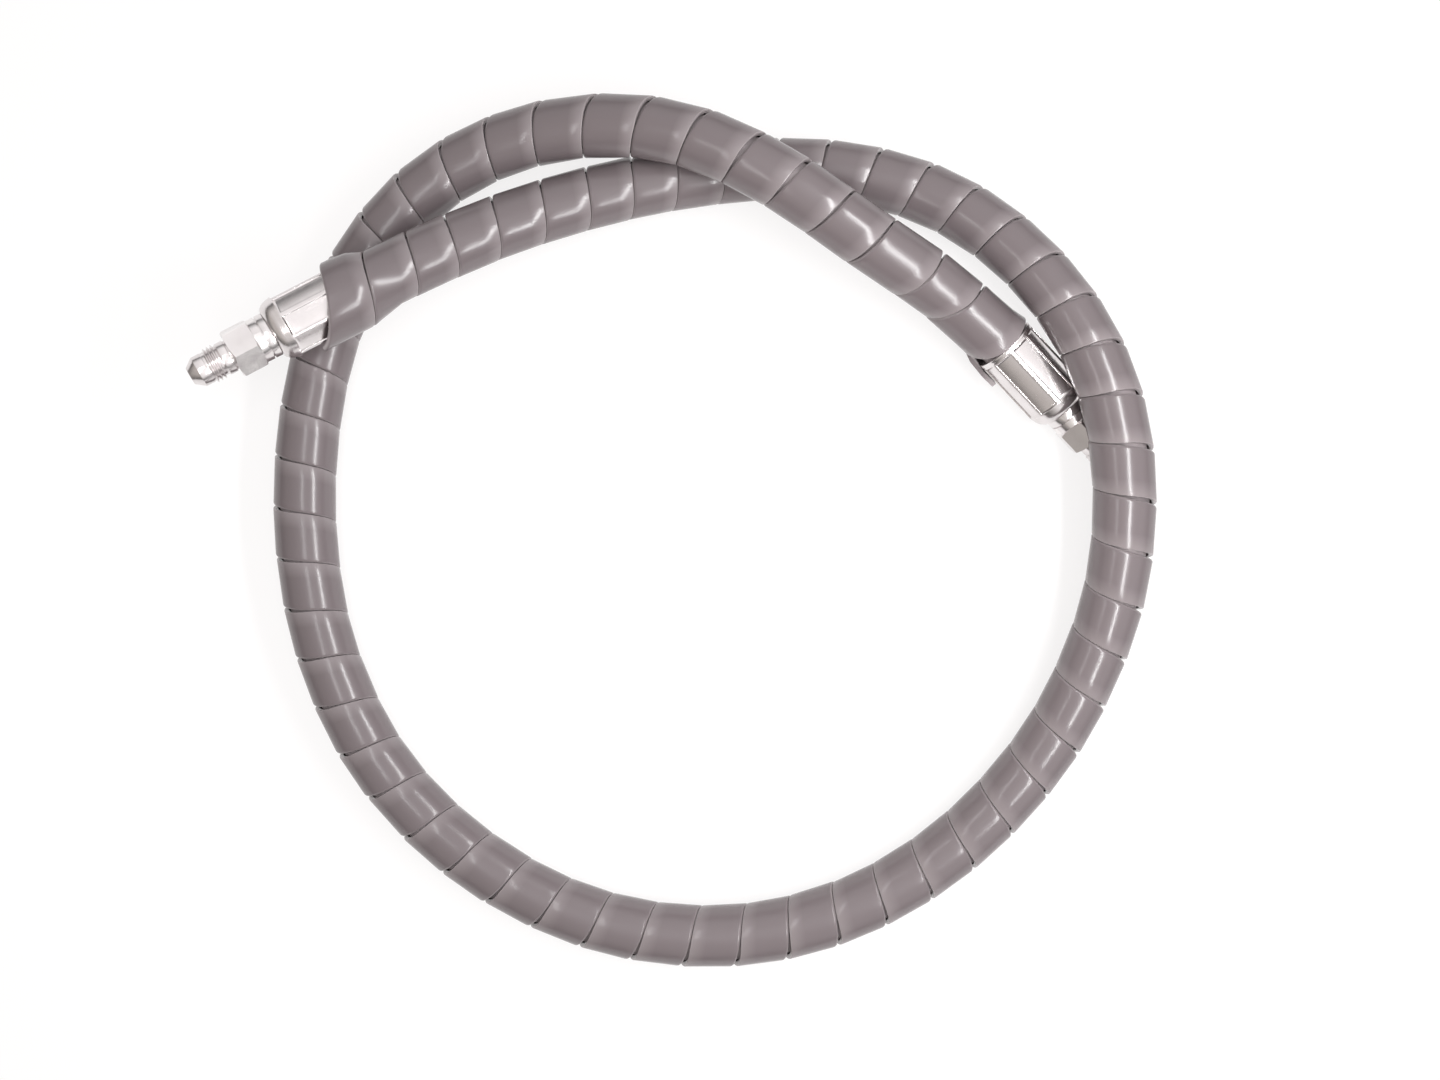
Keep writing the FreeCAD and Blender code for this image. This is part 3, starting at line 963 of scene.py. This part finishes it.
class MakeHose(bpy.types.Operator):
    """Makes the hose's cover as one smooth cord, and the layers inside it"""

    bl_idname = "hose.make_hose"
    bl_label = "Hose"

    def execute(self, context):
        sizes = context.scene.hose_sizes
        line, points = route_line()
        path = Path(points)
        tube = rubber_material("tube_rubber", 1.2, 500.0)
        friction = rubber_material("friction_rubber", 0.9, 800.0)
        first = braid_material("first_braid_wire", 8.0)
        second = braid_material("second_braid_wire", 10.0)
        layers = [
            ("tube_lining", "inner_tube", sizes.tube_wall, tube, "hose_rubber"),
            ("first_braid", "inner_wire_braid", sizes.inner_braid_wall, first, "braid_wire"),
            ("friction_rubber", "friction_layer", sizes.friction_wall, friction, "hose_rubber"),
            ("second_braid", "outer_wire_braid", sizes.outer_braid_wall, second, "braid_wire"),
        ]
        inside = sizes.bore_radius
        where = np.linspace(0, path.length, LAYER_RINGS)
        distance = np.concatenate([where, where[::-1]])
        around = np.arange(LAYER_SIDES) * 2 * math.pi / LAYER_SIDES
        for name, node, wall, material, slot in layers:
            radius = np.repeat(np.array([inside, inside + wall]), len(where))
            grid = np.zeros((len(distance), len(around), 3))
            grid[..., 0] = distance[:, None]
            grid[..., 1] = around * FLAT_SCALE
            grid[..., 2] = radius[:, None]
            values = {
                "front": distance[:, None],
                "rear": distance[:, None],
                "share": 0,
                "angle": around,
                "radius": radius[:, None],
            }
            piece = skin(name, grid, True, True, values)
            grow(piece, tree_named("Wind on route", wind_tree), route=line, material=material)
            face_outwards(piece.data)
            smooth(piece, 40)
            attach(piece, BODY)
            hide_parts(node)
            inside += wall
        bpy.data.objects.remove(line)
        cover = route_curve("hose_cover", hose_radius())
        cover.data.materials.append(rubber_material("cover_rubber", 1.0, 650.0))
        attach(cover, BODY)
        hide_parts("outer_cover")
        return {"FINISHED"}


class MakeGuard(bpy.types.Operator):
    """Makes the spiral guard as one strip wound on the hose"""

    bl_idname = "hose.make_guard"
    bl_label = "Guard"

    def execute(self, context):
        hose = context.scene.hose_sizes
        guard = context.scene.guard_sizes
        line, points = route_line()
        path = Path(points)
        fit = path.length / hose.full_length
        dice = np.random.default_rng(11)
        knots = np.arange(-2, guard.turns + 4, 0.5)
        waver = dice.normal(0, guard.waver, len(knots))
        swell = dice.normal(0, guard.waver * 0.5, len(knots))
        fine = np.arange(-1.0, guard.turns + 2.5, 0.02)
        push = np.interp(fine, [t for t, p in GUARD_PUSH], [p * MM for t, p in GUARD_PUSH])
        blur = np.hanning(BLUR)
        push = np.convolve(np.pad(push, BLUR // 2, "edge"), blur / blur.sum(), "valid")

        def edge(turn):
            """Where the gap in front of a turn lies along the hose."""
            plain = guard.start + guard.pitch * turn + np.interp(turn, fine, push)
            lean = guard.slack * np.clip(turn / 3 - 0.3, 0, 1) * (1 + np.cos(2 * math.pi * turn)) / 2
            return (plain + lean + np.interp(turn, knots, waver)) * fit

        def half_gap(turn):
            """Half the width of the gap in front of a turn."""
            strain = path.strain(edge(turn), 2 * math.pi * turn)
            stretch = strain * (guard_inner + guard.wall) * guard.pitch
            return np.maximum(guard.gap + guard.bend_share * stretch, guard.least_gap) / 2

        guard_inner = hose_radius() + guard.clearance
        count = int((guard.turns - FIRST_TURN) * guard.steps)
        turns = np.linspace(FIRST_TURN, guard.turns, count)[:, None]
        front = edge(turns) + half_gap(turns)
        rear = edge(turns + 1) - half_gap(turns + 1)
        width = rear - front

        # The strip's cross-section, as (from the rear edge or not, offset, height), once round
        small = guard.back_round
        cut = small * 0.3
        bend = guard.front_round
        top = guard.wall
        section = [(False, small, 0), (False, cut, cut), (False, 0, small)]
        for k in range(7):
            angle = k / 6 * math.pi / 2
            section.append((False, bend * (1 - math.cos(angle)), top - bend * (1 - math.sin(angle))))
        section += [(False, bend + 0.0025, top), (True, 0.005, top), (True, small, top)]
        section += [(True, cut, top - cut), (True, 0, top - small)]
        section += [(True, 0, small), (True, cut, cut), (True, small, 0), (True, 0.006, 0)]
        share = np.concatenate([1 - o / width if back else o / width for back, o, h in section], axis=1)
        height = np.array([h for back, o, h in section])
        # How near each point is to the strip's edges, for the painted highlight that makes them pale
        glint_nearness = np.array([max(0, 1 - o / EDGE_GLINT_WIDTH) for back, o, h in section])
        where = front + share * width
        beyond = np.maximum(hose.insertion - where, where - (path.length - hose.insertion))
        climb = eased(1 + np.minimum(beyond, 0) / guard.lip_ramp)
        climb = climb * np.interp(turns, [t for t, c in GUARD_CLIMB], [c for t, c in GUARD_CLIMB])
        ferrule_wall = context.scene.fitting_sizes.ferrule_radius - hose_radius()
        radius = guard_inner + climb * ferrule_wall + height + np.interp(turns, knots, swell)
        angle = 2 * math.pi * turns
        flat = np.broadcast_to(angle * FLAT_SCALE, where.shape)
        grid = np.stack([where, flat, radius], axis=-1)
        values = {
            "front": front,
            "rear": rear,
            "share": share,
            "angle": angle,
            "radius": radius,
            # Nearness to the edges, for the painted highlight along the gaps
            "edge": glint_nearness,
            "across": share * width,
            "along": angle * guard_inner,
        }
        piece = skin("guard_strip", grid, False, True, values)
        grow(piece, tree_named("Wind on route", wind_tree), route=line, material=guard_material())
        bpy.data.objects.remove(line)
        face_outwards(piece.data)
        smooth(piece, 35)
        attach(piece, BODY)
        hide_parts("spiral_guard")
        return {"FINISHED"}


class MakeFerrules(bpy.types.Operator):
    """Makes the two crimped ferrules"""

    bl_idname = "hose.make_ferrules"
    bl_label = "Ferrules"

    def execute(self, context):
        hose = context.scene.hose_sizes
        sizes = context.scene.fitting_sizes
        bore = hose_radius()
        wall = sizes.ferrule_radius
        long = sizes.ferrule_length
        end = long + sizes.shoulder
        # The outline once round, as (distance from the lip, radius, share of the crimp)
        outline = [
            (0.0002, bore, 0),
            (0, bore + 0.0004, 0),
            (0, wall - 0.0003, 0),
            (0.00012, wall - 0.00005, 0),
            (0.0004, wall + 0.0001, 0),
            (0.0009, wall + 0.00005, 0),
            (0.0014, wall - 0.0001, 0),
            *[(sizes.crimp_start + step, wall, share) for step, share in CRIMP_RAMP],
            (0.5 * (sizes.crimp_start + sizes.crimp_end), wall, 1),
            *[(sizes.crimp_end - step, wall, share) for step, share in reversed(CRIMP_RAMP)],
            (long - 0.0002, wall - 0.0001, 0),
            (long + 0.0003, wall - 0.00025, 0),
            (long + 0.001, wall - 0.0004, 0),
            (long + 0.0018, wall - 0.0006, 0),
            (long + 0.0026, wall - 0.001, 0),
            (end - 0.0008, wall - 0.0015, 0),
            (end - 0.0003, wall - 0.002, 0),
            (end, wall - 0.0025, 0),
            (end, sizes.collar_radius + 0.0002, 0),
            (end - 0.0002, sizes.collar_radius, 0),
            (hose.insertion, sizes.collar_radius, 0),
            (hose.insertion, bore, 0),
        ]
        ridge = math.degrees(sizes.crimp_ridge / 2 / wall)
        half = 180 / sizes.crimps
        profile = [(0, 0), (ridge * 0.6, 0), (ridge * 0.85, 0.05), (ridge, 0.2), (ridge + 0.35, 0.85)]
        profile += [(ridge + 0.7, 0.98), (ridge + 1.4, 1), (ridge + 5, 1), (ridge + 10, 1), (half, 1)]
        offsets = [o - half for o, share in profile] + [half - o for o, share in profile[-2::-1]]
        pressed = np.array([share for o, share in profile] + [share for o, share in profile[-2::-1]])
        angles = np.radians(offsets)
        flat = (wall - sizes.crimp_depth) / np.sqrt(np.cos(angles))
        dent = (wall - flat) * pressed
        rows = np.array(outline)
        grid = turned_grid(rows[:, :1], rows[:, 1:2] - rows[:, 2:3] * dent, angles)
        rolls = {"a": sizes.crimp_roll_a, "b": sizes.crimp_roll_b}
        for name, roll in rolls.items():
            piece = skin("crimped_ferrule_" + name, grid, True, False, {})
            grow(
                piece,
                tree_named("Ring of sectors", ring_tree),
                count=sizes.crimps,
                weld=1e-6,
                material=zinc_material("ferrule_zinc_" + name, 0.15),
            )
            face_outwards(piece.data)
            smooth(piece, 45)
            placed(piece, name, roll + math.radians(half))
            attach(piece, BODY)
            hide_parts("ferrule_" + name)
        return {"FINISHED"}


class MakeStems(bpy.types.Operator):
    """Makes the two stems, each with its tail, rings, hexagon, thread and cone"""

    bl_idname = "hose.make_stems"
    bl_label = "Stems"

    def outline(self, hose, sizes):
        """The stem's turned outline without hexagon and thread, as (distance, radius) once round."""
        at = stem_stations()
        start, relief, thread, pilot = (at[key] for key in ("start", "relief", "thread", "pilot"))
        root = sizes.thread_radius - THREAD_DEPTH * sizes.thread_pitch
        bore = hose.bore_radius
        collar = sizes.collar_radius
        ring = sizes.ring_radius
        tail = hose.insertion - TAIL_LENGTH
        point, cut = TAIL_CHAMFER
        points = [(tail, sizes.stem_bore), (tail, bore - cut), (tail + point, bore)]
        for k in range(BARBS):
            x = tail + BARB_START + k * BARB_PITCH
            points += [(x, bore), (x + STEP, bore - BARB_DEPTH), (x + BARB_RISE, bore)]
        points += [(hose.insertion, bore), (hose.insertion, collar)]
        points += [(start + STEP, collar), (start + STEP, ring)]
        points += [(start + GROOVE_START, ring), (start + GROOVE_START, ring - GROOVE_DEPTH)]
        points += [(start + GROOVE_END, ring - GROOVE_DEPTH), (start + GROOVE_END, ring)]
        points += [(relief, ring), (relief, RELIEF_RADIUS)]
        points += [(relief + RELIEF_WIDTH, RELIEF_RADIUS), (relief + RELIEF_WIDTH, SHANK_RADIUS)]
        points += [(thread - SHANK_END, SHANK_RADIUS), (thread + STEP, root)]
        points += [(pilot - STEP, root), (pilot, sizes.pilot_radius)]
        cone = pilot + PILOT_LENGTH
        tip = sizes.pilot_radius - CONE_LENGTH * math.tan(CONE_ANGLE)
        points += [(cone, sizes.pilot_radius), (cone + CONE_LENGTH, tip)]
        points += [(cone + CONE_LENGTH, sizes.stem_bore)]
        return points, root

    def hexagon(self, sizes, start):
        """The hexagon as a closed prism with chamfered corners and softened edges."""
        half_flat = sizes.across_flats / 2
        corner = half_flat / math.cos(math.pi / 6)
        inner = sizes.stem_bore
        end = start + sizes.hex_length
        turn = [k * math.pi / 3 for k in range(6)]
        grid = []
        for x, radius in ((start, corner), (end, corner), (end, inner), (start, inner)):
            grid.append([(x, radius * math.sin(a), radius * math.cos(a)) for a in turn])
        prism = skin("hexagon", np.array(grid), True, True, {})
        face_outwards(prism.data)
        slope = math.tan(HEX_CHAMFER)
        drop = (corner - half_flat) * slope
        reach = CUTTER_OVER / slope
        flat = half_flat - STEP
        cones = [
            (start, flat),
            (start + drop + CUTTER_OVER, corner + reach),
            (end - drop - CUTTER_OVER, corner + reach),
            (end, flat),
            (end, CUTTER_BORE),
            (start, CUTTER_BORE),
        ]
        cutter = lathe("chamfers", cones)
        self.combine(prism, cutter, "INTERSECT")
        bevel = prism.modifiers.new("softened", "BEVEL")
        bevel.width = HEX_EDGE
        bevel.segments = 2
        bevel.limit_method = "ANGLE"
        bevel.angle_limit = math.radians(25)
        settle(prism)
        return prism

    def combine(self, piece, other, operation):
        """Joins, cuts or intersects a piece with another, and removes the other."""
        modifier = piece.modifiers.new(operation, "BOOLEAN")
        modifier.object = other
        modifier.operation = operation
        modifier.solver = "EXACT"
        settle(piece)
        bpy.data.objects.remove(other)

    def thread(self, sizes, start, root, material):
        """The thread's ridge, along x."""
        half = THREAD_FOOT * sizes.thread_pitch
        tall = sizes.thread_radius - root
        crest = THREAD_CREST
        profile = [(THREAD_SINK, -half), (-tall, -crest), (-tall, crest), (THREAD_SINK, half)]
        data = bpy.data.curves.new("thread_profile", "CURVE")
        data.dimensions = "3D"
        spline = data.splines.new("POLY")
        spline.points.add(len(profile) - 1)
        for point, (x, y) in zip(spline.points, profile):
            point.co = (x, y, 0, 1)
        spline.use_cyclic_u = True
        ridge = new_object("thread_ridge", data)
        run_tree(
            ridge,
            tree_named("Thread ridge", thread_tree),
            turns=(sizes.thread_length - THREAD_SHORTER) / sizes.thread_pitch,
            pitch=sizes.thread_pitch,
            root_radius=root,
            material=material,
        )
        mesh = shown_mesh(ridge)
        bpy.data.objects.remove(ridge)
        mesh.transform(Matrix.Rotation(math.radians(90), 4, "Y"))
        mesh.transform(Matrix.Translation((start + THREAD_START, 0, 0)))
        face_outwards(mesh)
        return new_object("thread_ridge", mesh)

    def execute(self, context):
        hose = context.scene.hose_sizes
        sizes = context.scene.fitting_sizes
        at = stem_stations()
        rolls = {"a": sizes.hex_roll_a, "b": sizes.hex_roll_b}
        for name, roll in rolls.items():
            material = zinc_material("stem_zinc_" + name, 1.0)
            outline, root = self.outline(hose, sizes)
            piece = lathe("flare_stem_" + name, softened(outline, TURNED_EDGE))
            self.combine(piece, self.hexagon(sizes, at["hexagon"]), "UNION")
            self.combine(piece, self.thread(sizes, at["thread"], root, material), "UNION")
            piece.data.materials.clear()
            piece.data.materials.append(material)
            smooth(piece, 30)
            placed(piece, name, roll)
            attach(piece, BODY)
            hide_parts("stem_" + name)
        return {"FINISHED"}


class DeclareCord(bpy.types.Operator):
    bl_idname = "hose.declare_cord"
    bl_label = "Cord"

    def execute(self, context):
        lip = fitting_place("a").translation
        names = ["tube_lining", "first_braid", "friction_rubber", "second_braid", "guard_strip"]
        names += ["crimped_ferrule_b", "flare_stem_b"]
        return {"FINISHED"}


class HosePanel(bpy.types.Panel):
    """Lists the steps and the sizes"""

    bl_idname = "VIEW3D_PT_hose"
    bl_label = "Hydraulic hose"
    bl_space_type = "VIEW_3D"
    bl_region_type = "UI"
    bl_category = "Hose"

    def draw(self, context):
        for step in STEPS:
            self.layout.operator(step.bl_idname)
        for group in GROUPS:
            settings = getattr(context.scene, group)
            box = self.layout.box()
            for prop in settings.bl_rna.properties:
                if prop.identifier not in ("rna_type", "name"):
                    box.prop(settings, prop.identifier)


STEPS = [MakeStage, MakeHose, MakeGuard, MakeFerrules, MakeStems, DeclareCord]
GROUPS = {
    "hose_sizes": HoseSizes,
    "guard_sizes": GuardSizes,
    "fitting_sizes": FittingSizes,
    "finishes": Finishes,
    "stage_sizes": StageSizes,
}


def register():
    """Registers the classes and puts the sizes on the scene."""
    for kind in [*GROUPS.values(), *STEPS, HosePanel]:
        bpy.utils.register_class(kind)
    for name, kind in GROUPS.items():
        setattr(bpy.types.Scene, name, bpy.props.PointerProperty(type=kind))


def unregister():
    """Takes the sizes off the scene and unregisters the classes."""
    for name in GROUPS:
        delattr(bpy.types.Scene, name)
    for kind in reversed([*GROUPS.values(), *STEPS, HosePanel]):
        bpy.utils.unregister_class(kind)


def main():
    """Dresses the part."""
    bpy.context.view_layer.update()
    register()
    bpy.ops.hose.make_stage()
    bpy.ops.hose.make_hose()
    bpy.ops.hose.make_guard()
    bpy.ops.hose.make_ferrules()
    bpy.ops.hose.make_stems()
    bpy.ops.hose.declare_cord()


if __name__ == "__main__":
    main()
